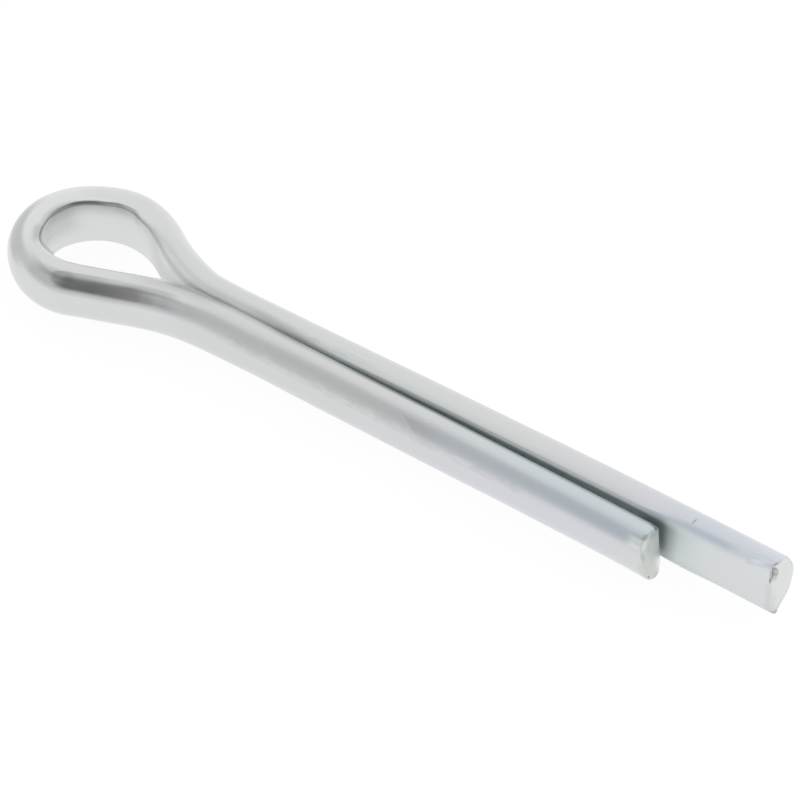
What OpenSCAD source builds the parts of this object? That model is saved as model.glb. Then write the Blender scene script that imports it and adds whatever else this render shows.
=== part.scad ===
// Split cotter pin: one length of half-round steel wire, folded back on itself
// so that its flats face each other. The fold is opened out into an eye, and
// one leg is longer than the other. It lies on its side, with the eye's plane
// level and the legs along +X. All lengths are in millimetres.

/* [Wire] */
// Radius of the wire's round side. Its two long edges are rounded to a sixth
// of this, and the round side's centre lies a fifteenth of it behind the flat.
wire_r = 3.75; // [3.45:0.15:4.05]

/* [Legs] */
// Length of the short leg, from where the flats meet to its tip
short_leg = 47.4; // [30:0.2:120]
// How far the long leg runs past the short one
tip_step = 11.6; // [4:0.2:20]
// Gap between the flats where they meet
gap = 0.06; // [0.02:0.02:0.2]
// Lean of each leg away from the other, in degrees
splay = 0.38; // [0, 0.08, 0.14, 0.38]
// Slope of the sheared ends, the lower edge of each being the longer
shear_tilt = 11; // [0:1:20]
// Turn of the sheared ends, the round side of each being the longer
shear_turn = 5; // [0:1:12]

/* [Eye] */
// Radius of the short leg's neck, at the flat
neck_short_r = 30; // [25:1:35]
// Bend of the short leg's neck, in degrees
neck_short_a = 19.5; // [18:0.5:21]
// Radius of the eye's long flank, which is nearly straight
flank_r = 360; // [320:10:400]
// Bend of the long flank
flank_a = 1; // [0.8:0.1:1.2]
// Inside radius of the first shoulder, after the flank
shoulder_r = 5; // [4.5:0.1:5.5]
// Bend of the first shoulder
shoulder_a = 29.5; // [28:0.5:31]
// Inside radius at the eye's outer end
nose_r = 3.3; // [3:0.1:3.6]
// Bend of the outer end
nose_a = 112; // [110:0.5:114]
// Bend of the second shoulder, whose radius comes out so that the legs meet
back_a = 89.5; // [88:0.5:91]
// Radius of the flare from the second shoulder to the long leg's neck
flare_r = 26; // [22:1:30]
// Bend of the flare
flare_a = 13; // [12:0.5:14]
// Radius of the long leg's neck, at the flat
neck_long_r = 9.8; // [8:0.1:12]

/* [Hidden] */
$fn = 72;

// ---- the wire's section: the flat on x = 0, the round side towards +x ----
edge_r = wire_r / 6;
flat_set = wire_r / 15;
edge_z = 0.8 * wire_r;       // height of the rounded edges' centres
wire_t = wire_r - flat_set;  // thickness
wire_h = 2 * (edge_z + edge_r);

// ---- the path of the flat's middle line: [x, y, heading] after each bend ----
function left(s, r, a) = [s[0] - r * sin(s[2]) + r * sin(s[2] + a),
                          s[1] + r * cos(s[2]) - r * cos(s[2] + a), s[2] + a];
function right(s, r, a) = left(s, -r, -a);

p1 = [0, -gap / 2, 180 - splay];
p2 = left(p1, neck_short_r, neck_short_a);
p3 = right(p2, flank_r, flank_a);
p4 = right(p3, shoulder_r, shoulder_a);
p5 = right(p4, nose_r, nose_a);

// the long leg has to come back along its own line: its neck takes up the turn
// that is left, and the second shoulder's radius takes up the distance
neck_long_a = splay - p5[2] + back_a - flare_a;
function to_leg(r) = left(left(right(p5, r, back_a), flare_r, flare_a), neck_long_r, neck_long_a);
function off_line(s) = s[1] - tan(splay) * s[0] - gap / 2;
back_r = off_line(to_leg(0)) / (off_line(to_leg(0)) - off_line(to_leg(1)));
p6 = right(p5, back_r, back_a);
p7 = left(p6, flare_r, flare_a);
p8 = left(p7, neck_long_r, neck_long_a);
tip_x = (short_leg + tip_step) * cos(splay);
long_leg = short_leg + tip_step - p8[0] / cos(splay);

// ---- the finished box, so that the pin is centred and lies on z = 0 ----
x_low = p4[0] + nose_r * sin(p4[2]) - nose_r - wire_t;
shear = [tan(shear_turn), tan(shear_tilt)];
reach = shear[1] * 0.28 <= shear[0] * 0.96 // how far the shear leaves past the flat's middle
  ? wire_r * norm(shear) - flat_set * shear[0]
  : edge_r * (norm(shear) + shear[0]) + edge_z * shear[1];
x_high = tip_x + reach + shear[0] * (gap / 2 + (short_leg + tip_step) * sin(splay));
y_low = min(p3[1] - shoulder_r * cos(p3[2]) - shoulder_r,
            -gap / 2 - short_leg * sin(splay)) - wire_t;
y_high = max(p5[1] - back_r * cos(p5[2]) + back_r,
             gap / 2 + (short_leg + tip_step) * sin(splay)) + wire_t;
spare = 3; // extra length on each leg, taken off again by the shear

module half_round() {
  // everything but the rounded edges
  intersection() {
    translate([-flat_set, 0]) circle(r = wire_r);
    polygon([[0, -edge_z], [edge_r, -edge_z], [edge_r + 2 * 0.28, -edge_z - 2 * 0.96],
             [10, -edge_z - 2 * 0.96], [10, edge_z + 2 * 0.96],
             [edge_r + 2 * 0.28, edge_z + 2 * 0.96], [edge_r, edge_z], [0, edge_z]]);
  }
  // the rounded edges
  for (s = [-1, 1]) intersection() {
    translate([edge_r, s * edge_z]) circle(r = edge_r);
    polygon([[edge_r, s * edge_z], [edge_r + 2 * 0.28, s * (edge_z + 2 * 0.96)],
             [-2, s * (edge_z + 2)], [-2, s * edge_z]]);
  }
}

// Moves in two steps, the second under a thousandth of a millimetre: exported
// figures are cut short, and this way each piece still meets the next.
module place(v) {
  near = [for (n = v) round(n * 1000) / 1000];
  translate(near) translate(v - near) children();
}

// a bend with the flat on the inside, from path point s
module bend_in(s, r, a) {
  place([s[0] + r * sin(s[2]), s[1] - r * cos(s[2]), 0])
    rotate_extrude(angle = a, start = s[2] + 90 - a) place([r, 0]) half_round();
}

// a bend with the round side on the inside, from path point s
module bend_out(s, r, a) {
  place([s[0] - r * sin(s[2]), s[1] + r * cos(s[2]), 0])
    rotate_extrude(angle = a, start = s[2] - 90) place([r, 0]) mirror([1, 0]) half_round();
}

// a straight leg from path point s towards +X, with its round side to +Y or -Y
module leg(s, lean, l, side) {
  place([s[0], s[1], 0]) rotate([0, 0, lean]) rotate([90, 0, 90])
    linear_extrude(height = l) scale([side, 1]) half_round();
}

// what the shear takes off beyond a tip at x, on the leg to +Y or -Y
module sheared_off(x, side) {
  translate([x, 0, 0]) rotate([0, -shear_tilt, -side * shear_turn])
    translate([0, -15, -15]) cube([30, 30, 30]);
}

module cotter_pin() {
  color([0.80, 0.82, 0.82])
  place([-(x_low + x_high) / 2, -(y_low + y_high) / 2, wire_h / 2]) {
    // the short leg, sheared at its tip
    difference() {
      leg(p1, -splay, short_leg + spare, -1);
      sheared_off(short_leg * cos(splay), -1);
    }
    // its neck, the eye, and the neck of the long leg
    bend_out(p1, neck_short_r, neck_short_a);
    bend_in(p2, flank_r, flank_a);
    bend_in(p3, shoulder_r, shoulder_a);
    bend_in(p4, nose_r, nose_a);
    bend_in(p5, back_r, back_a);
    bend_out(p6, flare_r, flare_a);
    bend_out(p7, neck_long_r, neck_long_a);
    // the long leg, sheared at its tip
    difference() {
      leg(p8, splay, long_leg + spare, 1);
      sheared_off(tip_x, 1);
    }
  }
}

cotter_pin();
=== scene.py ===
import math

import bpy
import numpy as np
from mathutils import Matrix


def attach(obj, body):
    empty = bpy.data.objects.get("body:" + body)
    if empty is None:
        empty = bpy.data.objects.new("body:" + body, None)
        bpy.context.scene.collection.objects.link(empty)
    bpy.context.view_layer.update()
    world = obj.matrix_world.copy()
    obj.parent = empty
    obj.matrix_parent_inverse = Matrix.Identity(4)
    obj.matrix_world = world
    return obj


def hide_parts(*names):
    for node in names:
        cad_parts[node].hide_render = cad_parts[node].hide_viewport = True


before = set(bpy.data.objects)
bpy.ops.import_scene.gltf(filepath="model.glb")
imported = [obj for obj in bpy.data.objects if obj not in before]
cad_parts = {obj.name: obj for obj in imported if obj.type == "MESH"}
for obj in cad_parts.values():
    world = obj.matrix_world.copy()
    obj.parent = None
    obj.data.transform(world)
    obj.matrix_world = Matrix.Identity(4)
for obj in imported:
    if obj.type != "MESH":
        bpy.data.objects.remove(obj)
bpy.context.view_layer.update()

MM = 0.001

# =====================================================================================
# The pin's path, in millimetres: the middle line of the wire's flat, from the short
# leg's tip round the eye to the long leg's tip, as in the CAD.
# =====================================================================================
WIRE_R, FLAT_SET, EDGE_R, EDGE_Z = 3.75, 0.25, 0.625, 3.0
SHORT, STEP, GAP, SPLAY = 47.4, 11.6, 0.06, math.radians(0.38)
NECK_R, NECK_A = 30.0, math.radians(19.5)
FLANK_R, FLANK_A = 360.0, math.radians(1.0)
SHOULDER_R, SHOULDER_A = 5.0, math.radians(29.5)
NOSE_R, NOSE_A = 3.3, math.radians(112.0)
BACK_A = math.radians(89.5)
FLARE_R, FLARE_A = 26.0, math.radians(13.0)
LONG_NECK_R = 9.8
TO_ROW = np.array([-17.57145, -0.19124, 3.625])

# what the real wire's unevenness adds
BOW_SHORT, BOW_LONG = -0.125, 0.192                                # the legs aren't quite straight
ROLL_SHORT, ROLL_LONG, ROLL_TIP = (math.radians(v) for v in (-3.37, -2.2, -4.39))   # nor quite upright


def left(s, r, a):
    x, y, h = s
    return (x - r * math.sin(h) + r * math.sin(h + a), y + r * math.cos(h) - r * math.cos(h + a), h + a)


def right(s, r, a):
    return left(s, -r, -a)


p1 = (0.0, -GAP / 2, math.pi - SPLAY)
p2 = left(p1, NECK_R, NECK_A)
p3 = right(p2, FLANK_R, FLANK_A)
p4 = right(p3, SHOULDER_R, SHOULDER_A)
p5 = right(p4, NOSE_R, NOSE_A)
LONG_NECK_A = SPLAY - p5[2] + BACK_A - FLARE_A


def to_leg(r):
    return left(left(right(p5, r, BACK_A), FLARE_R, FLARE_A), LONG_NECK_R, LONG_NECK_A)


def off_line(s):
    return s[1] - math.tan(SPLAY) * s[0] - GAP / 2


BACK_R = off_line(to_leg(0)) / (off_line(to_leg(0)) - off_line(to_leg(1)))
p6 = right(p5, BACK_R, BACK_A)
p7 = left(p6, FLARE_R, FLARE_A)
p8 = left(p7, LONG_NECK_R, LONG_NECK_A)
LONG = SHORT + STEP - p8[0] / math.cos(SPLAY)

# pieces of the path: (start, signed radius or None, length)
PIECES = [
    ((SHORT * math.cos(SPLAY), -GAP / 2 - SHORT * math.sin(SPLAY), math.pi - SPLAY), None, SHORT),
    (p1, NECK_R, NECK_R * NECK_A),
    (p2, -FLANK_R, FLANK_R * FLANK_A),
    (p3, -SHOULDER_R, SHOULDER_R * SHOULDER_A),
    (p4, -NOSE_R, NOSE_R * NOSE_A),
    (p5, -BACK_R, BACK_R * BACK_A),
    (p6, FLARE_R, FLARE_R * FLARE_A),
    (p7, LONG_NECK_R, LONG_NECK_R * LONG_NECK_A),
    (p8, None, LONG),
]
STARTS = np.cumsum([0.0] + [p[2] for p in PIECES])
TOTAL = float(STARTS[-1])


def on_path(s):
    """Points (n,2), headings (n,) and piece numbers at lengths s along the path."""
    k = np.clip(np.searchsorted(STARTS, s, side="right") - 1, 0, len(PIECES) - 1)
    xy, head = np.zeros((len(s), 2)), np.zeros(len(s))
    for i, ((x, y, h), r, _) in enumerate(PIECES):
        m = k == i
        u = s[m] - STARTS[i]
        if r is None:
            xy[m] = np.stack([x + u * math.cos(h), y + u * math.sin(h)], 1)
            head[m] = h
        else:
            a = h + u / r
            xy[m] = np.stack([x - r * math.sin(h) + r * np.sin(a), y + r * math.cos(h) - r * np.cos(a)], 1)
            head[m] = a
    return xy, head, k


def smooth(e0, e1, x):
    t = np.clip((x - e0) / (e1 - e0), 0, 1)
    return t * t * (3 - 2 * t)


def bump(x, c, w):
    return np.exp(-(((x - c) / w) ** 2))


# ---- smooth noise on a lattice, the same every run ----
def _hash(ix, iy, iz, seed):
    h = (ix * 374761393 + iy * 668265263 + iz * 2147483647 + seed * 974634777) & 0xFFFFFFFF
    h = ((h ^ (h >> 13)) * 1274126177) & 0xFFFFFFFF
    return ((h ^ (h >> 16)) & 0xFFFF) / 32767.5 - 1.0


def noise(x, y, z, seed):
    x, y, z = np.broadcast_arrays(x, y, z)
    ix, iy, iz = (np.floor(v).astype(np.int64) for v in (x, y, z))
    fx, fy, fz = x - ix, y - iy, z - iz
    fx, fy, fz = (f * f * f * (f * (f * 6 - 15) + 10) for f in (fx, fy, fz))
    out = 0
    for dx in (0, 1):
        for dy in (0, 1):
            for dz in (0, 1):
                w = (fx if dx else 1 - fx) * (fy if dy else 1 - fy) * (fz if dz else 1 - fz)
                out = out + w * _hash(ix + dx, iy + dy, iz + dz, seed)
    return out


# ---- the section, as points (depth from the flat, height), going once round ----
# Every variant has its points at the same normal directions, so that one can be
# blended into another along the wire.
N_FLAT = 22
PSI = np.radians(np.concatenate([np.linspace(-60, 60, 33), np.linspace(64, 104, 11), np.linspace(108, 180, 16)]))
PSI_LOW = np.radians(np.linspace(180, 64, 22))


def edge_points(psi, ea, eb):
    """Upper half: the big arc, then an elliptical edge with half-axes ea (depth) and eb (height)."""
    lo, hi = 0.0, math.pi / 2
    for _ in range(60):
        th = (lo + hi) / 2
        he = math.hypot(ea * math.cos(th), eb * math.sin(th))
        if ea + ea * ea * math.cos(th) / he < WIRE_R * math.cos(th) - FLAT_SET:
            lo = th
        else:
            hi = th
    zc = WIRE_R * math.sin(th) - eb * eb * math.sin(th) / he
    hp = np.hypot(ea * np.cos(psi), eb * np.sin(psi))
    e = np.stack([ea + ea * ea * np.cos(psi) / hp, zc + eb * eb * np.sin(psi) / hp], 1)
    r = np.stack([WIRE_R * np.cos(psi) - FLAT_SET, WIRE_R * np.sin(psi)], 1)
    return np.where((psi < th)[:, None], r, e), zc


def section(ea, eb):
    up, zc = edge_points(PSI, ea, eb)
    low, zl = edge_points(PSI_LOW, EDGE_R, EDGE_R)
    low = low * [1, -1]
    flat = np.stack([np.zeros(N_FLAT - 2), np.linspace(zc, -zl, N_FLAT)[1:-1]], 1)
    # the lower half of the big arc starts where PSI does
    return np.concatenate([up, flat, low])


def worn_section(r1, q1, r2, q2, r3):
    """As section(), with the upper edge made of three arcs that meet at normal directions q1 and q2."""
    q1, q2 = math.radians(q1), math.radians(q2)
    a1 = r2 * (math.cos(q1) - math.cos(q2)) + r3 * (math.cos(q2) + 1)
    q0 = math.acos((FLAT_SET + a1 - r1 * math.cos(q1)) / (WIRE_R - r1))
    z1 = WIRE_R * math.sin(q0) + r1 * (math.sin(q1) - math.sin(q0))
    z2 = z1 + r2 * (math.sin(q2) - math.sin(q1))
    arcs = [(WIRE_R, -FLAT_SET, 0.0), (r1, a1 - r1 * math.cos(q1), z1 - r1 * math.sin(q1)),
            (r2, a1 - r2 * math.cos(q1), z1 - r2 * math.sin(q1)), (r3, r3, z2 - r3 * math.sin(q2))]
    k = (PSI >= q0).astype(int) + (PSI >= q1) + (PSI >= q2)
    r, ca, cz = (np.array([v[i] for v in arcs])[k] for i in range(3))
    up = np.stack([ca + r * np.cos(PSI), cz + r * np.sin(PSI)], 1)
    low, zl = edge_points(PSI_LOW, EDGE_R, EDGE_R)
    flat = np.stack([np.zeros(N_FLAT - 2), np.linspace(up[-1, 1], -zl, N_FLAT)[1:-1]], 1)
    return np.concatenate([up, flat, low * [1, -1]])


NRM = np.concatenate([np.stack([np.cos(PSI), np.sin(PSI)], 1), np.tile([-1.0, 0.0], (N_FLAT - 2, 1)),
                      np.stack([np.cos(PSI_LOW), -np.sin(PSI_LOW)], 1)])
SEC = section(EDGE_R, EDGE_R)                     # as drawn
SEC_NEAR = section(0.85, 0.625)                   # the short leg, its upper edge a little worn
SEC_FAR = section(1.4, 1.4)                       # the long leg's neck and end
SEC_GAP = worn_section(2.2, 112, 0.4, 142, 0.7)   # the long leg, along the gap
N_SEC = len(SEC)
TURN = np.degrees(np.concatenate([PSI, np.full(N_FLAT - 2, math.pi), -PSI_LOW]))
SA, SZ = SEC[:, 0], SEC[:, 1]


def stations():
    fine = np.concatenate([[0, 0.02, 0.05, 0.09, 0.14, 0.2, 0.27, 0.35, 0.44, 0.54, 0.66, 0.8, 0.95, 1.1],
                           np.arange(1.25, 2.9, 0.17)])
    body = np.linspace(3.0, TOTAL - 3.0, int((TOTAL - 6.0) / 0.22))
    return np.concatenate([fine, body, (TOTAL - fine)[::-1]])


S = stations()
N_RING = len(S)
XY, HEAD, PIECE = on_path(S)
u = np.clip(XY[:, 0] / SHORT, 0, 1)
XY[:, 1] -= np.where(PIECE == 0, 4 * BOW_SHORT * u * (1 - u), 0)
u = np.clip(XY[:, 0] / (SHORT + STEP), 0, 1)
XY[:, 1] += np.where(PIECE == 8, 4 * BOW_LONG * u * (1 - u), 0)
T2 = np.stack([np.cos(HEAD), np.sin(HEAD)], 1)
N2 = np.stack([-np.sin(HEAD), np.cos(HEAD)], 1)
ROLL = ROLL_SHORT * smooth(-1, 13, XY[:, 0]) * (PIECE <= 1)
ROLL = ROLL + (ROLL_LONG + (ROLL_TIP - ROLL_LONG) * smooth(50, 58, XY[:, 0])) * smooth(3, 24, XY[:, 0]) * (PIECE >= 6)


def place(i, depth, height, along):
    """Row-frame points in mm for ring numbers i, section coordinates and a slide along the path."""
    c, n = np.cos(ROLL[i]), np.sin(ROLL[i])
    a = depth * c - height * n
    z = depth * n + height * c
    p = np.zeros(np.shape(a) + (3,))
    p[..., 0] = XY[i][..., 0] + a * N2[i][..., 0] + along * T2[i][..., 0]
    p[..., 1] = XY[i][..., 1] + a * N2[i][..., 1] + along * T2[i][..., 1]
    p[..., 2] = z
    p = p + TO_ROW
    return p


# =====================================================================================
# The sheared ends: how far each end stands out along the leg, at (depth, height)
# =====================================================================================
def cut_short(a, z):
    d = 0.17 - z * (0.08 + 0.07 * a)
    d = d + 0.16 * smooth(2.4, 3.4, a) * smooth(-0.4, 1.2, z)
    d = d + 0.12 * smooth(-2.6, -3.5, z) * smooth(0.2, 1.2, a)
    return d


def cut_long(a, z):
    d = -0.38 - 0.125 * z + 0.85 * (1 - np.exp(-a / 1.3))
    d = d + 0.32 * smooth(-2.9, -3.5, z) * (1 - smooth(0.3, 1.3, a))
    d = d - 0.05 * smooth(-2.2, -3.4, z) * smooth(0.6, 2.0, a)
    d = d - 0.32 * smooth(1.1, 2.3, a) * smooth(0.1, 1.7, z)
    return d


def rough_short(a, z):
    """Fine relief of the short leg's sheared face, along the leg."""
    d = 0.020 * noise(a * 1.3, z * 1.1, 0.0, 11) + 0.012 * noise(a * 3.1, z * 2.7, 0.0, 12)
    return d


def rough_long(a, z):
    d = 0.020 * noise(a * 1.2, z * 1.0, 0.0, 21) + 0.012 * noise(a * 3.3, z * 2.9, 0.0, 22)
    return d


# radius of the worn or rolled-over rim round each face, by section point
def rim_short():
    top = smooth(2.6, 3.4, SZ) * (1 - smooth(0.5, 1.3, SA))
    return 0.07 + 0.53 * top


def rim_long():
    top = smooth(2.4, 3.3, SZ)
    return 0.09 + 0.12 * top


# =====================================================================================
# The mesh
# =====================================================================================
near_w = 1 - smooth(62.5, 66.0, S)
far_w = smooth(82.5, 87.5, S) * (1 - smooth(TOTAL - 5.5, TOTAL - 0.5, S))
sec = SEC[None] + near_w[:, None, None] * (SEC_NEAR - SEC)[None]
sec = sec + far_w[:, None, None] * (SEC_FAR - SEC)[None]
gap_w = smooth(97.0, 110.0, S) * (1 - smooth(139.5, 145.5, S))
sec = sec + gap_w[:, None, None] * (SEC_GAP - SEC_FAR)[None]
depth, height = sec[..., 0], sec[..., 1]
# at the back of the eye the flat leans in a little at the top
lean = 0.33 * smooth(67.8, 70.6, S) * (1 - smooth(79.5, 85.0, S))
lean *= 1 - 0.95 * smooth(77.2, 79.5, S) * (1 - smooth(80.4, 82.0, S))
lean += 0.12 * bump(S, 72.5, 1.3) - 0.06 * bump(S, 74.2, 1.2)
depth = depth - lean[:, None] * np.clip((height + 3.4) / 6.8, 0, 1) * np.clip(1 - depth / 3.5, 0, 1)
na = np.repeat(NRM[None, :, 0], N_RING, 0)
nz = np.repeat(NRM[None, :, 1], N_RING, 0)
sgrid = np.repeat(S[:, None], N_SEC, 1)

# and at the crotch the short leg's upper inner edge comes forward
crotch_lean = 0.23 * smooth(49.0, 52.5, S) * (1 - smooth(53.6, 56.6, S))
depth = depth - crotch_lean[:, None] * smooth(1.5, 3.2, height) * np.clip(1 - depth / 1.6, 0, 1)

# where the bent wire stands a little further out, or less far, than drawn
KNOT_UP = [64, 68, 70, 72, 74, 76, 77.6, 78.7, 80.1, 81.8, 83.6, 86, 89, 92, 95, 98, 105, 122, 128, 136, 148, 152]
LIFT_UP = [0, .04, .13, .13, .11, .06, .09, .15, .25, .13, -.11, -.05, .08, .10, .03, 0, -.04, .02, .06, .10, .07, .04]
KNOT_LOW = [0, 1.5, 3, 6, 10, 14, 20, 25, 32, 36, 43, 49, 54, 63, 65.5, 67, 69]
LIFT_LOW = [0, -.05, -.10, -.10, -.07, -.06, 0, .05, .06, .04, -.04, .02, -.07, -.07, .07, .05, 0]
fine_s = np.arange(-3.0, TOTAL + 3.0, 0.1)
soft = np.exp(-((np.arange(-20, 21) / 9.0) ** 2))
soft /= soft.sum()
out_up = np.interp(S, fine_s, np.convolve(np.interp(fine_s, KNOT_UP, LIFT_UP), soft, "same"))
out_low = np.interp(S, fine_s, np.convolve(np.interp(fine_s, KNOT_LOW, LIFT_LOW), soft, "same"))
w_up = smooth(-15, 20, TURN) * (1 - smooth(38, 80, TURN))
w_low = smooth(-110, -60, TURN) * (1 - smooth(-15, 20, TURN))
w_rim = 1 - smooth(-150, -115, TURN)
w_far = smooth(-15, 20, TURN) * (1 - smooth(70, 105, TURN))
w_up = w_up[None] + smooth(88.0, 96.0, S)[:, None] * (w_far - w_up)[None]
shape = out_up[:, None] * w_up + out_low[:, None] * w_low + (0.15 * bump(S, 146.0, 2.9))[:, None] * w_rim

# slight unevenness of the drawn and bent wire
lift = 0.010 * noise(sgrid / 7.0, depth / 2.2, height / 2.2, 1) + 0.005 * noise(sgrid / 2.6, depth / 1.3, height / 1.3, 2)
lift *= smooth(0.0, 1.5, S)[:, None] * smooth(0.0, 1.5, TOTAL - S)[:, None]


def rim(r, dist):
    """How far the surface draws in at a distance from the end, for a rim of radius r."""
    k = np.clip(1 - dist / r, 0, 1)
    return r * (1 - np.sqrt(np.clip(1 - k * k, 0, 1)))


lift += shape
lift -= rim(rim_short()[None], S[:, None]) * 0.55
lift -= rim(rim_long()[None], (TOTAL - S)[:, None]) * 0.55
d_in = depth + lift * na
h_in = height + lift * nz

near = 1 - smooth(0, 3.2, S)
far = 1 - smooth(0, 3.2, TOTAL - S)
along = -near[:, None] * cut_short(SA, SZ)[None] + far[:, None] * cut_long(SA, SZ)[None]
ring = np.repeat(np.arange(N_RING)[:, None], N_SEC, 1)
body = place(ring, d_in, h_in, along)
# nothing reaches under the floor
body[..., 2] += np.maximum(0, -body[..., 2].min(1))[:, None]

V = [body.reshape(-1, 3)]
W = [np.stack([sgrid, depth, height], -1).reshape(-1, 3)]     # the straight wire's own coordinates
K = [np.zeros(N_RING * N_SEC)]                                  # 0 on the wire, 1 on a sheared face
idx = np.arange(N_RING * N_SEC).reshape(N_RING, N_SEC)
nxt = np.roll(idx, -1, 1)
F = [tuple(int(v) for v in q) for q in np.stack([idx[:-1], nxt[:-1], nxt[1:], idx[1:]], -1).reshape(-1, 4)]
count = N_RING * N_SEC
MID = np.array([1.45, 0.0])
FACE_RINGS = 18


def face(base, cut, relief, sign):
    global count
    out_a, out_z = d_in[base], h_in[base]
    lift_z = max(0.0, -place(np.full(N_SEC, base), out_a, out_z, 0 * out_a)[:, 2].min())
    # the face meets the rim at the last ring
    prev = idx[base]
    edge_gap = along[base] - sign * cut(out_a, out_z)
    for k in range(1, FACE_RINGS + 1):
        w = k / (FACE_RINGS + 0.5)
        w = w ** 0.85
        a = out_a * (1 - w) + MID[0] * w
        z = out_z * (1 - w) + MID[1] * w
        keep = 1 - smooth(0.0, 0.12, w)
        al = sign * (cut(a, z) + relief(a, z) * smooth(0.0, 0.08, w)) + edge_gap * keep
        pts = place(np.full(N_SEC, base), a, z, al)
        pts[:, 2] += lift_z
        cur = np.arange(count, count + N_SEC)
        V.append(pts)
        W.append(np.stack([np.full(N_SEC, -20.0 if sign < 0 else 200.0), a, z], -1))
        K.append(np.ones(N_SEC))
        a0, b0 = prev, np.roll(prev, -1)
        c0, d0 = np.roll(cur, -1), cur
        q = np.stack([a0, d0, c0, b0], 1) if sign < 0 else np.stack([a0, b0, c0, d0], 1)
        F.extend(tuple(int(v) for v in r) for r in q)
        prev = cur
        count += N_SEC
    al = sign * (cut(MID[0], MID[1]) + relief(MID[0], MID[1]))
    pt = place(np.array([base]), np.array([MID[0]]), np.array([MID[1]]), np.array([float(al)]))
    pt[:, 2] += lift_z
    V.append(pt)
    W.append(np.array([[-20.0 if sign < 0 else 200.0, MID[0], MID[1]]]))
    K.append(np.ones(1))
    for i in range(N_SEC):
        a0, b0 = int(prev[i]), int(prev[(i + 1) % N_SEC])
        F.append((b0, a0, count) if sign < 0 else (a0, b0, count))
    count += 1


face(0, cut_short, rough_short, -1)
face(N_RING - 1, cut_long, rough_long, 1)
V, W, K = np.concatenate(V), np.concatenate(W), np.concatenate(K)

mesh = bpy.data.meshes.new("pin_wire")
mesh.from_pydata([tuple(v) for v in (V * MM)], [], F)
mesh.polygons.foreach_set("use_smooth", np.ones(len(mesh.polygons), bool))
at = mesh.attributes.new("wire", "FLOAT_VECTOR", "POINT")
at.data.foreach_set("vector", W.astype(np.float32).ravel())
at = mesh.attributes.new("cut", "FLOAT", "POINT")
at.data.foreach_set("value", K.astype(np.float32))
mesh.update()
print("rings", N_RING, "section", N_SEC, "vertices", len(V), "triangles", sum(len(f) - 2 for f in F))
pin = bpy.data.objects.new("pin_wire", mesh)
bpy.context.scene.collection.objects.link(pin)


# =====================================================================================
# Node helpers
# =====================================================================================
class Tree:
    def __init__(self, tree):
        self.t = tree

    def node(self, kind, **kw):
        n = self.t.nodes.new(kind)
        for k, v in kw.items():
            setattr(n, k, v)
        return n

    def put(self, sock, v):
        if isinstance(v, bpy.types.NodeSocket):
            self.t.links.new(v, sock)
        else:
            sock.default_value = v

    def math(self, op, a, b=0.0, c=0.0, clamp=False):
        n = self.node("ShaderNodeMath", operation=op, use_clamp=clamp)
        for s, v in zip(n.inputs, (a, b, c)):
            self.put(s, v)
        return n.outputs[0]

    def ramp(self, x, e0, e1, v0=0.0, v1=1.0, kind="SMOOTHSTEP"):
        n = self.node("ShaderNodeMapRange", interpolation_type=kind, clamp=True)
        if e0 > e1:
            e0, e1, v0, v1 = e1, e0, v1, v0
        self.put(n.inputs["Value"], x)
        for k, v in (("From Min", e0), ("From Max", e1), ("To Min", v0), ("To Max", v1)):
            n.inputs[k].default_value = v
        return n.outputs["Result"]

    def mix(self, f, a, b):
        n = self.node("ShaderNodeMix", data_type="RGBA")
        self.put(n.inputs[0], f)
        self.put(n.inputs[6], a)
        self.put(n.inputs[7], b)
        return n.outputs[2]

    def mul(self, *f):
        out = f[0]
        for g in f[1:]:
            out = self.math("MULTIPLY", out, g)
        return out

    def one_less(self, a):
        return self.math("SUBTRACT", 1.0, a)

    def spot(self, *terms):
        """Distance from a centre in units of the half-widths: terms are (coordinate, centre, half-width)."""
        total = None
        for x, c, w in terms:
            q = self.math("MULTIPLY", self.math("SUBTRACT", x, c), 1.0 / w)
            q = self.math("MULTIPLY", q, q)
            total = q if total is None else self.math("ADD", total, q)
        return self.math("SQRT", total)

    def scaled(self, v, x, y, z):
        n = self.node("ShaderNodeVectorMath", operation="MULTIPLY")
        self.put(n.inputs[0], v)
        n.inputs[1].default_value = (x, y, z)
        return n.outputs[0]

    def noise(self, v, scale, detail=2.0, rough=0.5):
        n = self.node("ShaderNodeTexNoise")
        self.put(n.inputs["Vector"], v)
        n.inputs["Scale"].default_value = scale
        n.inputs["Detail"].default_value = detail
        n.inputs["Roughness"].default_value = rough
        return n.outputs["Fac"]


def burr_wave(m, wire):
    """A wavy line's offset down the height of the long leg's end."""
    return m.math("SUBTRACT", m.noise(m.scaled(wire, 0.0, 0.0, 1.7), 1.0, 2.0, 0.7), 0.1)


# =====================================================================================
# Material: bright zinc plate over steel
# =====================================================================================
mat = bpy.data.materials.new("zinc_plated_steel")
mat.use_nodes = True
m = Tree(mat.node_tree)
bsdf = mat.node_tree.nodes["Principled BSDF"]
wire = m.node("ShaderNodeAttribute", attribute_name="wire").outputs["Vector"]
cut = m.node("ShaderNodeAttribute", attribute_name="cut").outputs["Fac"]
sep = m.node("ShaderNodeSeparateXYZ")
m.put(sep.inputs[0], wire)
s_, a_, z_ = sep.outputs

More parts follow.
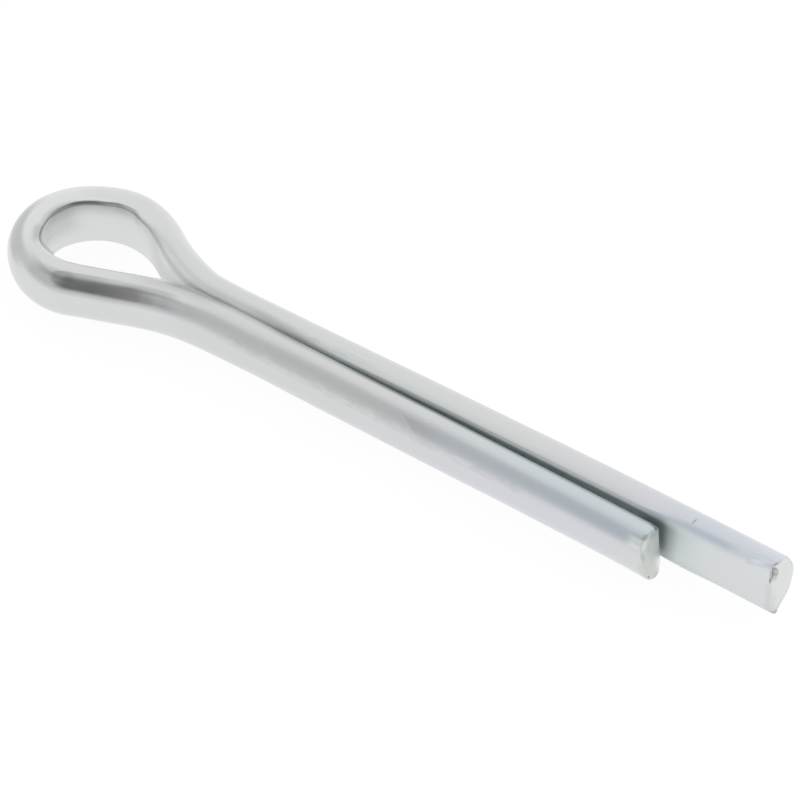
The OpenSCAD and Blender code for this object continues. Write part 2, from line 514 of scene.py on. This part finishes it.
ang = m.math("DEGREES", m.math("ARCTAN2", z_, m.math("ADD", a_, FLAT_SET)))   # round the big arc
on_wire = m.one_less(cut)
a_flat = m.math("ADD", a_, m.mul(m.ramp(s_, 67.8, 70.6), m.ramp(s_, 85.0, 79.5),
                            m.math("MULTIPLY_ADD", m.mul(m.ramp(s_, 77.2, 79.5), m.ramp(s_, 82.0, 80.4)), -0.95, 1.0), 0.33))   # from the leaning flat
on_flat = m.mul(m.ramp(a_, 0.35, 0.02), on_wire)
on_edge = m.mul(m.ramp(a_, 1.6, 0.5), on_wire)
in_eye = m.mul(m.ramp(s_, 48.0, 56.0), m.ramp(s_, 85.0, 81.0))
streak = m.noise(m.scaled(wire, 0.05, 5.0, 5.0), 1.0, 3.0, 0.6)
patch = m.noise(m.scaled(wire, 0.12, 0.35, 0.35), 1.0, 2.0, 0.5)
fine = m.noise(m.scaled(wire, 3.0, 9.0, 9.0), 1.0, 3.0, 0.6)

face_near = m.ramp(s_, -10.0, -15.0)
face_far = m.ramp(s_, 180.0, 190.0)
bite = m.noise(m.scaled(wire, 0.9, 1.6, 1.6), 1.0, 2.0, 0.6)                 # ragged borders
blot = m.noise(m.scaled(wire, 0.30, 0.9, 0.9), 1.0, 2.0, 0.5)

# colour: nearly neutral at the eye; towards the tips cyan on the short leg's upper
# strip, lavender below its band and on top of the long leg, greenish in the gap
tip_near = m.ramp(s_, 30.0, 6.0)
tip_far = m.ramp(s_, TOTAL - 32.0, TOTAL - 10.0)
end_far = m.ramp(s_, TOTAL - 15.0, TOTAL - 8.0)
col = m.mix(m.ramp(ang, 60.0, 64.0), (0.668, 0.679, 0.676, 1), (0.672, 0.681, 0.680, 1))
col = m.mix(m.mul(m.ramp(s_, 24.0, 32.0), m.ramp(s_, 69.0, 65.0), m.ramp(ang, 62.0, 58.0), m.ramp(ang, 33.0, 39.0)), col, (0.695, 0.686, 0.664, 1))
# painted light on the top of the eye's outer end
col = m.mix(m.mul(m.ramp(s_, 67.0, 70.0), m.ramp(s_, 77.0, 74.0), m.ramp(z_, 2.7, 3.1)), col, (0.705, 0.722, 0.724, 1))
col = m.mix(m.mul(tip_near, m.ramp(ang, 58.0, 66.0)), col, (0.604, 0.672, 0.700, 1))
col = m.mix(m.mul(tip_near, m.ramp(ang, 62.0, 58.0), m.ramp(ang, 33.0, 39.0)), col, (0.650, 0.688, 0.728, 1))
col = m.mix(m.mul(m.ramp(s_, 40.0, 12.0), m.ramp(ang, 39.0, 33.0)), col, (0.664, 0.672, 0.712, 1))
col = m.mix(m.mul(m.ramp(s_, 4.0, 1.5), m.ramp(ang, 42.0, 35.0)), col, (0.680, 0.688, 0.680, 1))
col = m.mix(tip_far, col, (0.658, 0.670, 0.694, 1))
col = m.mix(m.mul(end_far, 0.85), col, (0.624, 0.662, 0.724, 1))
col = m.mix(m.mul(m.ramp(patch, 0.46, 0.62), m.math("MAXIMUM", tip_near, tip_far), 0.45), col, (0.672, 0.676, 0.722, 1))
# painted reflection: the brighter stripe along the long leg's free end, with a step in its lower border
stripe = m.mul(m.ramp(s_, TOTAL - 15.0, TOTAL - 10.5), m.ramp(a_, 0.80, 0.30), m.ramp(a_, 0.02, 0.10))
col = m.mix(m.mul(stripe, on_wire), col, (0.765, 0.825, 0.895, 1))
# painted highlight on the long leg's inner top edge near its end
col = m.mix(m.mul(m.ramp(s_, TOTAL - 3.4, TOTAL - 2.0), m.ramp(a_, 0.32, 0.20), m.ramp(z_, 2.6, 2.9), on_wire), col, (0.90, 0.94, 0.98, 1))
# painted light where the reflected band fades beside the short leg's tip, and at the start of the eye's flank
pale = m.math("MAXIMUM", m.mul(m.ramp(s_, 2.4, 0.9), m.ramp(ang, 33.0, 42.0), m.ramp(ang, 55.5, 51.0)),
              m.mul(m.ramp(s_, 50.5, 53.0), m.ramp(s_, 59.0, 56.0), m.ramp(ang, 36.0, 41.0), m.ramp(ang, 54.0, 48.0), 0.5))
col = m.mix(m.mul(pale, on_wire), col, m.mix(m.ramp(s_, 20.0, 30.0), (0.90, 0.94, 0.92, 1), (0.80, 0.83, 0.85, 1)))
col = m.mix(m.mul(m.ramp(s_, 53.4, 54.8), m.ramp(s_, 56.9, 55.9), m.ramp(ang, 35.0, 40.0), m.ramp(ang, 56.5, 50.0), on_wire, 0.8), col, (0.95, 0.96, 0.95, 1))
flat_col = m.mix(m.ramp(s_, TOTAL - 9.5, TOTAL - 6.5), m.mix(m.ramp(s_, TOTAL - 14.0, TOTAL - 11.0), (0.705, 0.765, 0.770, 1), (0.672, 0.728, 0.735, 1)),
                 (0.725, 0.745, 0.745, 1))
flat_col = m.mix(m.mul(m.ramp(s_, 48.0, 56.0), m.ramp(s_, 97.0, 89.0)), flat_col, (0.745, 0.756, 0.754, 1))
flat_col = m.mix(m.mul(m.ramp(s_, TOTAL - 3.6, TOTAL - 3.0), m.ramp(m.math("MULTIPLY_ADD", m.math("SUBTRACT", s_, TOTAL - 3.2), -0.27, z_), 2.15, 2.40)), flat_col, (0.650, 0.675, 0.745, 1))
col = m.mix(on_flat, col, flat_col)
# painted highlights: along the long leg's inner top edge beside the gap, and again near its end
col = m.mix(m.mul(m.ramp(s_, 108.0, 114.0), m.ramp(s_, 143.5, 141.0), m.ramp(a_, 0.20, 0.08), m.ramp(z_, 2.1, 2.6), on_wire), col, (0.98, 1.0, 1.0, 1))
col = m.mix(m.mul(m.ramp(s_, TOTAL - 3.4, TOTAL - 2.0), m.ramp(a_, 0.03, 0.12), m.ramp(a_, 0.30, 0.18), m.ramp(z_, 2.7, 3.0), on_wire, 0.8), col, (0.86, 0.90, 0.96, 1))
# painted highlights on two edges: the near one of the eye, and the inner one of the long leg's neck
light = m.mul(m.ramp(a_, 0.45, 0.2), m.ramp(z_, 2.4, 2.9), m.ramp(s_, 46.0, 52.0), m.ramp(s_, 69.0, 66.0))
crotch = m.mul(m.ramp(a_, 0.9, 0.30), m.ramp(z_, -1.5, 1.8), m.ramp(s_, 83.5, 86.5), m.ramp(s_, 103.5, 96.5))
col = m.mix(m.mul(light, on_wire), col, (0.97, 0.97, 0.97, 1))
col = m.mix(m.mul(crotch, on_wire), col, m.mix(m.mul(m.ramp(s_, 90.0, 93.5), m.ramp(a_, 0.5, 0.2)), (0.94, 0.95, 0.95, 1), (0.82, 0.83, 0.83, 1)))
rim_near = m.mul(m.ramp(s_, 0.30, 0.05), on_wire, m.ramp(a_, 1.0, 1.6), m.ramp(z_, 1.9, 2.5))
col = m.mix(rim_near, col, (0.765, 0.80, 0.775, 1))
# the short leg's sheared face: its own greenish grey, with painted shade on the upper part by the flat and painted
# light towards the bottom
col = m.mix(face_near, col, m.mix(m.mul(m.ramp(a_, 1.5, 0.1), m.ramp(z_, 2.4, 1.6)), m.mix(m.mul(m.ramp(z_, 1.7, 2.3), m.ramp(a_, 1.05, 1.40)), (0.650, 0.677, 0.645, 1), (0.765, 0.80, 0.755, 1)), m.mix(m.ramp(z_, -1.4, -2.4), (0.77, 0.79, 0.75, 1), (0.92, 0.94, 0.90, 1))))
col = m.mix(face_far, col, (0.728, 0.750, 0.742, 1))

# painted reflection: the darker band along the outside of the eye's long flank, with ragged borders
end = m.math("MAXIMUM", m.math("SUBTRACT", s_, 63.0), 0.0)
off = m.math("ADD", m.math("SUBTRACT", ang, 52.4), m.mul(m.math("SUBTRACT", bite, 0.5), 3.2))
d = m.math("ADD", m.math("POWER", m.math("MULTIPLY", end, 1 / 2.1), 2.0),
           m.math("POWER", m.math("ABSOLUTE", m.math("MULTIPLY", off, 1 / 13.1)), 4.0))
painted_dark_band = m.mul(m.ramp(d, 1.12, 0.66), m.ramp(s_, 57.0, 61.5), on_wire)
col = m.mix(painted_dark_band, col, (0.664, 0.680, 0.670, 1))
deep = m.math("ADD", m.math("ADD", 0.27, m.mul(m.ramp(s_, 63.0, 64.6), 0.06)), m.mul(m.math("SUBTRACT", blot, 0.5), 0.16))
# shade under the eye's upper inner edge, and softer on the flat below its outer end
under = m.mul(m.ramp(a_flat, 0.32, 0.05), m.ramp(z_, 0.8, 3.3), m.ramp(s_, 69.6, 71.8), m.ramp(s_, 85.5, 80.5), on_wire)
under = m.mul(under, m.math("ADD", 0.28, m.mul(m.ramp(s_, 74.5, 71.0), 0.03)), m.math("MULTIPLY_ADD", m.ramp(s_, 79.0, 80.2), -0.40, 1.0))
under_line = m.math("MAXIMUM", m.mul(m.ramp(a_flat, 0.28, 0.12), m.ramp(z_, 3.05, 3.35), m.ramp(s_, 73.4, 74.4), m.ramp(s_, 78.3, 76.2), 0.48),
                    m.mul(m.ramp(a_flat, 0.40, 0.10), m.math("MAXIMUM", m.mul(m.ramp(z_, 2.40, 2.80), m.ramp(s_, 73.2, 74.4), 0.06), m.mul(m.ramp(z_, 1.9, 2.7), m.ramp(s_, 77.6, 79.0), 0.12)), m.ramp(s_, 82.0, 80.8)))
under_line = m.mul(under_line, on_wire)
# and down the crease at its left end
crease = m.mul(m.ramp(m.math("ABSOLUTE", m.math("SUBTRACT", m.math("MULTIPLY_ADD", z_, 0.45, s_), 69.65)), 0.45, 0.10), m.ramp(z_, 2.9, 2.3), m.ramp(z_, -3.8, -2.6),
               m.ramp(a_, 0.20, 0.05), on_wire, 0.32)
left_end = m.mul(m.ramp(a_flat, 1.15, 0.40), m.ramp(z_, 2.6, 3.2), m.ramp(s_, 67.4, 68.6), m.ramp(s_, 70.2, 69.3), on_wire, 0.26)
hollow = m.mul(on_flat, in_eye, m.ramp(s_, 75.4, 73.0), m.ramp(s_, 68.8, 70.4), m.ramp(z_, -2.4, 0.8), 0.19)

# the gap: shade on both edges, and beside the short leg's tip
k = m.math("MULTIPLY_ADD", m.ramp(s_, 17.0, 47.0, kind="LINEAR"), 0.5, 0.5)
gap_near = m.mul(m.ramp(m.math("DIVIDE", a_, k), 1.0, 0.12), m.ramp(z_, 2.0, 2.6), m.math("MULTIPLY_ADD", m.ramp(s_, 11.0, 26.0), 0.40, 0.10),
                 m.math("MULTIPLY_ADD", m.mul(m.ramp(s_, 40.5, 44.0), m.ramp(s_, 48.5, 46.5)), -0.45, 1.0),
                 m.math("MULTIPLY_ADD", m.mul(m.ramp(s_, 33.0, 35.5), m.ramp(s_, 40.0, 37.5)), -0.20, 1.0), m.ramp(s_, 55.5, 52.5), on_wire)
gap_line = m.mul(m.ramp(a_, 0.62, 0.22), m.ramp(a_, 0.0, 0.07), m.ramp(z_, 2.0, 2.5), m.ramp(s_, 37.0, 30.0), on_wire, 0.40)
beside = m.mul(on_flat, m.ramp(s_, 144.9, 143.0), m.ramp(s_, 139.6, 142.2), m.ramp(z_, 2.9, 1.6), m.math("MULTIPLY_ADD", m.ramp(z_, -1.6, -3.2), -0.10, 0.42))
# faint blotchy darkening on the long leg beside the gap, and painted shade where the legs part
gap_side_blots = m.mul(m.ramp(s_, 96.0, 99.0), m.ramp(s_, 113.0, 108.0), m.ramp(a_, 0.30, 0.55), m.ramp(a_, 1.25, 0.85), on_wire, m.math("MULTIPLY_ADD", m.ramp(blot, 0.40, 0.60), 0.08, 0.01))
parting_shade = m.mul(m.ramp(s_, 47.5, 50.5), m.ramp(s_, 58.5, 55.0), m.ramp(a_, 1.5, 0.9), m.ramp(z_, 2.6, 3.1), on_wire, 0.12)
# painted reflection: a darker wedge across the short leg's reflected band, and darker blots along its lower border
u = m.math("SUBTRACT", m.math("MULTIPLY_ADD", ang, 0.086, 21.94), s_)
low = m.math("MINIMUM", m.math("MULTIPLY_ADD", u, 4.0, 24.0), 33.0)
wedge = m.mul(m.ramp(u, 0.0, 0.3), m.ramp(u, 5.5, 1.0), m.ramp(m.math("SUBTRACT", ang, low), -1.0, 1.5), m.ramp(ang, 58.0, 52.0), 0.11)
brink = m.mul(m.ramp(s_, 9.0, 14.0), m.ramp(s_, 50.0, 44.0), m.ramp(ang, 23.0, 30.0), m.ramp(ang, 44.0, 36.0),
              m.math("MULTIPLY_ADD", m.ramp(bite, 0.36, 0.64), 0.07, 0.02))
# painted reflection too: the band's soft run round the eye's outer end, and its upper border at both ends of the
# painted dark band
round_end = m.mul(m.ramp(s_, 66.8, 68.3), m.ramp(s_, 73.0, 70.6), m.ramp(ang, 24.0, 36.0), m.ramp(ang, 63.0, 53.0), 0.26)
cap_a = m.mul(m.ramp(ang, 67.0, 61.0), m.ramp(ang, 51.0, 57.0), m.ramp(s_, 51.5, 54.0), m.ramp(s_, 60.0, 57.0), 0.26)
cap_b = m.mul(m.ramp(ang, 68.0, 60.0), m.ramp(ang, 47.0, 54.0), m.ramp(s_, 62.2, 64.0), m.ramp(s_, 66.5, 65.0), 0.24)
bandage = m.mul(m.math("MAXIMUM", m.math("MAXIMUM", wedge, brink), m.math("MAXIMUM", round_end, m.math("MAXIMUM", cap_a, cap_b))), on_wire)

# marks: a nick on the long leg, burrs and pits round the sheared ends; real marks, with the shade of their relief
# painted in
near_end = m.mul(m.ramp(s_, 0.9, 0.5), m.ramp(s_, -1.0, 0.0))
u_nick = m.math("SUBTRACT", m.math("SUBTRACT", s_, 145.36), m.mul(m.math("SUBTRACT", a_, 1.11), 0.26))
nick = m.mul(m.ramp(m.spot((u_nick, 0.0, 0.10), (a_, 1.14, 0.34)), 1.25, 0.6), on_wire, 0.34)
pits = m.math("MAXIMUM", m.mul(m.ramp(s_, 0.48, 0.24), m.ramp(m.spot((a_, 1.70, 0.33), (z_, 3.18, 0.24)), 1.3, 0.6), 0.30),
              m.mul(m.ramp(m.spot((a_, 2.90, 0.32), (z_, -1.85, 0.32)), 1.3, 0.5), m.math("MAXIMUM", m.mul(m.ramp(s_, 0.70, 0.20), m.ramp(s_, -1.0, 0.0)), face_near), 0.50))
row = m.math("ADD", z_, m.math("MULTIPLY", m.math("MAXIMUM", m.math("SUBTRACT", a_, 0.15), 0.0), 0.8))
wave = m.math("MULTIPLY", m.math("SUBTRACT", burr_wave(m, wire), 0.4), 0.12)
scar = m.mul(m.ramp(m.math("ABSOLUTE", m.math("SUBTRACT", a_, m.math("MULTIPLY_ADD", m.ramp(z_, 1.5, 2.2), 0.22, wave))), 0.15, 0.04),
             m.ramp(z_, 0.85, 1.35), m.ramp(z_, 3.6, 3.3), 0.64)
knot = m.mul(m.ramp(m.spot((a_, 0.32, 0.17), (row, 2.50, 0.27)), 1.4, 0.5), 0.60)
ring = m.mul(m.ramp(m.math("ABSOLUTE", m.math("SUBTRACT", m.spot((a_, 0.60, 0.19), (row, 2.74, 0.42)), 1.0)), 0.60, 0.15), 0.48)
fill = m.math("MAXIMUM", m.mul(m.ramp(m.spot((a_, 0.35, 0.45), (row, 2.50, 0.90)), 1.55, 0.5), 0.30),
              m.mul(m.ramp(m.spot((a_, 0.20, 0.18), (row, 1.62, 0.40)), 1.4, 0.5), 0.24))
corner = m.mul(m.ramp(m.spot((a_, 0.33, 0.25), (row, 3.28, 0.17)), 1.4, 0.6), 0.60)
burr = m.mul(m.math("MAXIMUM", m.math("MAXIMUM", scar, fill), m.math("MAXIMUM", knot, m.math("MAXIMUM", ring, corner))),
             m.math("MAXIMUM", face_far, m.ramp(s_, TOTAL - 0.10, TOTAL - 0.03)), m.ramp(s_, 150.0, 152.0))
seam = m.mul(m.ramp(s_, TOTAL - 0.08, TOTAL - 0.03), m.ramp(s_, 190.0, 165.0), m.ramp(z_, 2.9, 3.1), m.ramp(a_, 1.9, 1.1), m.math("MULTIPLY_ADD", m.mul(m.ramp(a_, 1.0, 0.5), m.ramp(a_, 0.30, 0.50)), 0.32, 0.12))
foot = m.mul(m.math("MAXIMUM", face_far, m.ramp(s_, TOTAL - 0.7, TOTAL - 0.4)), m.ramp(m.spot((a_, 0.30, 0.45), (z_, -3.50, 0.30)), 1.3, 0.6), 0.25)
marks = m.math("MAXIMUM", m.math("MAXIMUM", nick, pits), m.math("MAXIMUM", burr, m.math("MAXIMUM", seam, foot)))
# painted shade on the upper part of the short leg's sheared face and along the top of its end
face_top = m.math("MAXIMUM", m.mul(face_near, m.ramp(z_, 1.4, 2.8), m.ramp(a_, 2.0, 1.2), 0.18),
                  m.mul(m.math("MAXIMUM", near_end, face_near), m.ramp(z_, 2.75, 3.15), m.math("MAXIMUM", m.mul(m.ramp(a_, 0.60, 0.20), 0.36), m.mul(m.ramp(s_, 0.22, 0.08), m.ramp(a_, 0.7, 1.0), m.ramp(a_, 1.55, 1.30), 0.16))))
rim_low = m.mul(m.ramp(s_, 0.5, 0.15), m.ramp(s_, -1.0, 0.0), m.ramp(a_, 1.2, 1.6), m.ramp(z_, 1.6, 0.6), 0.09)
# darker towards the bottom of the long leg's end and of the flat beside it
end_bottom_darker = m.math("MAXIMUM", m.mul(face_far, m.ramp(a_, 0.9, 0.4), m.ramp(z_, -0.4, -1.4)),
                   m.mul(m.math("MAXIMUM", m.mul(on_flat, m.ramp(s_, TOTAL - 0.60, TOTAL - 0.25)), m.mul(m.ramp(s_, 154.6, 155.0), m.ramp(a_, 0.38, 0.12))), m.ramp(z_, 1.0, 0.5)))
end_bottom_darker = m.mul(end_bottom_darker, 0.07)
streak_end = m.mul(m.ramp(s_, TOTAL - 4.0, TOTAL - 2.2), m.ramp(s_, 180.0, 160.0), m.ramp(a_, 0.22, 0.36), m.ramp(a_, 0.85, 0.50), m.ramp(z_, 2.8, 3.2), 0.11)

keep = m.one_less(m.math("MAXIMUM", m.math("MAXIMUM", m.mul(painted_dark_band, deep), under), marks))
for shade in (hollow, under_line, crease, left_end, gap_near, gap_line, beside, gap_side_blots, parting_shade, bandage, face_top, rim_low, end_bottom_darker, streak_end):
    keep = m.mul(keep, m.one_less(shade))
col = m.mix(keep, (0.0, 0.0, 0.0, 1), col)
m.put(bsdf.inputs["Base Color"], col)

rough = m.math("SUBTRACT", 0.25, m.mul(in_eye, 0.12))
rough = m.math("ADD", rough, m.mul(m.math("MAXIMUM", on_flat, m.mul(on_edge, m.one_less(in_eye))), m.math("ADD", 0.20, m.math("ADD", m.mul(m.ramp(s_, 82.0, 88.0), 0.02), m.mul(m.ramp(s_, 82.0, 88.0), m.ramp(s_, 108.0, 98.0), 0.12)))))
rough = m.math("ADD", rough, m.mul(rim_near, 0.30))
rough = m.math("ADD", rough, m.mul(cut, 0.12))
rough = m.math("ADD", rough, m.mul(m.math("SUBTRACT", streak, 0.5), 0.10))
m.put(bsdf.inputs["Roughness"], rough)
metal = m.math("SUBTRACT", m.math("ADD", 0.85, m.mul(in_eye, 0.11)), m.mul(light, on_wire, 0.7))
m.put(bsdf.inputs["Metallic"], metal)

h = m.math("ADD", m.math("MULTIPLY", streak, 0.6), m.math("MULTIPLY", fine, 0.25))
bp = m.node("ShaderNodeBump")
bp.inputs["Strength"].default_value = 0.25
bp.inputs["Distance"].default_value = 0.00001
m.put(bp.inputs["Height"], h)
m.put(bsdf.inputs["Normal"], bp.outputs[0])
mesh.materials.append(mat)

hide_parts("cotter_pin")
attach(pin, "root")

# =====================================================================================
# Floor and light
# =====================================================================================
fm = bpy.data.meshes.new("floor")
fm.from_pydata([(-3, -3, 0), (3, -3, 0), (3, 3, 0), (-3, 3, 0)], [], [(0, 1, 2, 3)])
floor = bpy.data.objects.new("floor", fm)
bpy.context.scene.collection.objects.link(floor)
fmat = bpy.data.materials.new("white_table")
fmat.use_nodes = True
t = Tree(fmat.node_tree)
fmat.node_tree.nodes.clear()
em = t.node("ShaderNodeEmission")
em.inputs["Color"].default_value = (1, 1, 1, 1)
em.inputs["Strength"].default_value = 0.93
df = t.node("ShaderNodeBsdfDiffuse")
df.inputs["Color"].default_value = (0.10, 0.10, 0.10, 1)
add = t.node("ShaderNodeAddShader")
t.put(add.inputs[0], em.outputs[0])
t.put(add.inputs[1], df.outputs[0])
seen = t.node("ShaderNodeBsdfDiffuse")           # what the pin sees of the table: white, with contact shade
seen.inputs["Color"].default_value = (0.20, 0.20, 0.20, 1)
glow = t.node("ShaderNodeEmission")
glow.inputs["Strength"].default_value = 0.86
both = t.node("ShaderNodeAddShader")
t.put(both.inputs[0], seen.outputs[0])
t.put(both.inputs[1], glow.outputs[0])
pick = t.node("ShaderNodeMixShader")
t.put(pick.inputs[0], t.node("ShaderNodeLightPath").outputs["Is Camera Ray"])
t.put(pick.inputs[1], both.outputs[0])
t.put(pick.inputs[2], add.outputs[0])
t.put(t.node("ShaderNodeOutputMaterial").inputs["Surface"], pick.outputs[0])
fm.materials.append(fmat)

world = bpy.data.worlds.new("studio")
bpy.context.scene.world = world
world.use_nodes = True
world.node_tree.nodes.clear()
w = Tree(world.node_tree)
sp = w.node("ShaderNodeSeparateXYZ")
w.put(sp.inputs[0], w.node("ShaderNodeTexCoord").outputs["Generated"])
X, Y, Z = sp.outputs
az = w.math("DEGREES", w.math("ARCTAN2", X, w.math("MULTIPLY", Y, -1.0)))
el = w.math("DEGREES", w.math("ARCSINE", Z))
grey = w.math("MULTIPLY", w.math("MULTIPLY", w.ramp(az, -86, -38), w.ramp(az, 110, 60)),
              w.math("MULTIPLY", w.ramp(el, -4, 20), w.ramp(el, 54, 48)))
core = w.math("MULTIPLY", w.math("MULTIPLY", w.ramp(az, -14, 1), w.ramp(az, 100, 55)),
              w.math("MULTIPLY", w.ramp(el, 14, 21), w.ramp(el, 67, 53)))
c1 = w.mix(grey, (1.0, 1.0, 1.0, 1), (0.63, 0.655, 0.68, 1))
c2 = w.mix(core, c1, w.mix(w.ramp(az, 4, 30), (0.26, 0.265, 0.265, 1), (0.03, 0.032, 0.032, 1)))
c3 = w.mix(w.node("ShaderNodeLightPath").outputs["Is Camera Ray"], c2, (1.05, 1.05, 1.05, 1))
bg = w.node("ShaderNodeBackground")
w.put(bg.inputs["Color"], c3)
w.put(w.node("ShaderNodeOutputWorld").inputs["Surface"], bg.outputs[0])
bpy.context.scene.view_settings.view_transform = "Standard"

# =====================================================================================
# Camera, at the photograph's angle
# =====================================================================================
ca, ce, cr = (math.radians(v) for v in (30.7195, 56.7803, -0.3486))
fwd = -np.array([math.sin(ca) * math.cos(ce), -math.cos(ca) * math.cos(ce), math.sin(ce)])
rgt = np.array([math.cos(ca), math.sin(ca), 0.0])
dwn = np.cross(fwd, rgt)
r2 = math.cos(cr) * rgt + math.sin(cr) * dwn
d2 = -math.sin(cr) * rgt + math.cos(cr) * dwn
pos = np.array([34.0, 0, 0]) - 12.670153 * r2 - 7.220325 * d2 - 272.3157 * fwd + TO_ROW
cam_data = bpy.data.cameras.new("camera")
cam_data.sensor_width = 36.0
cam_data.lens = 2886.482 * 36.0 / 800.0
cam_data.clip_start, cam_data.clip_end = 0.01, 20.0
cam = bpy.data.objects.new("camera", cam_data)
bpy.context.scene.collection.objects.link(cam)
mw = Matrix.Identity(4)
for i in range(3):
    mw[i][0], mw[i][1], mw[i][2], mw[i][3] = r2[i], -d2[i], -fwd[i], pos[i] * MM
cam.matrix_world = mw
bpy.context.scene.camera = cam
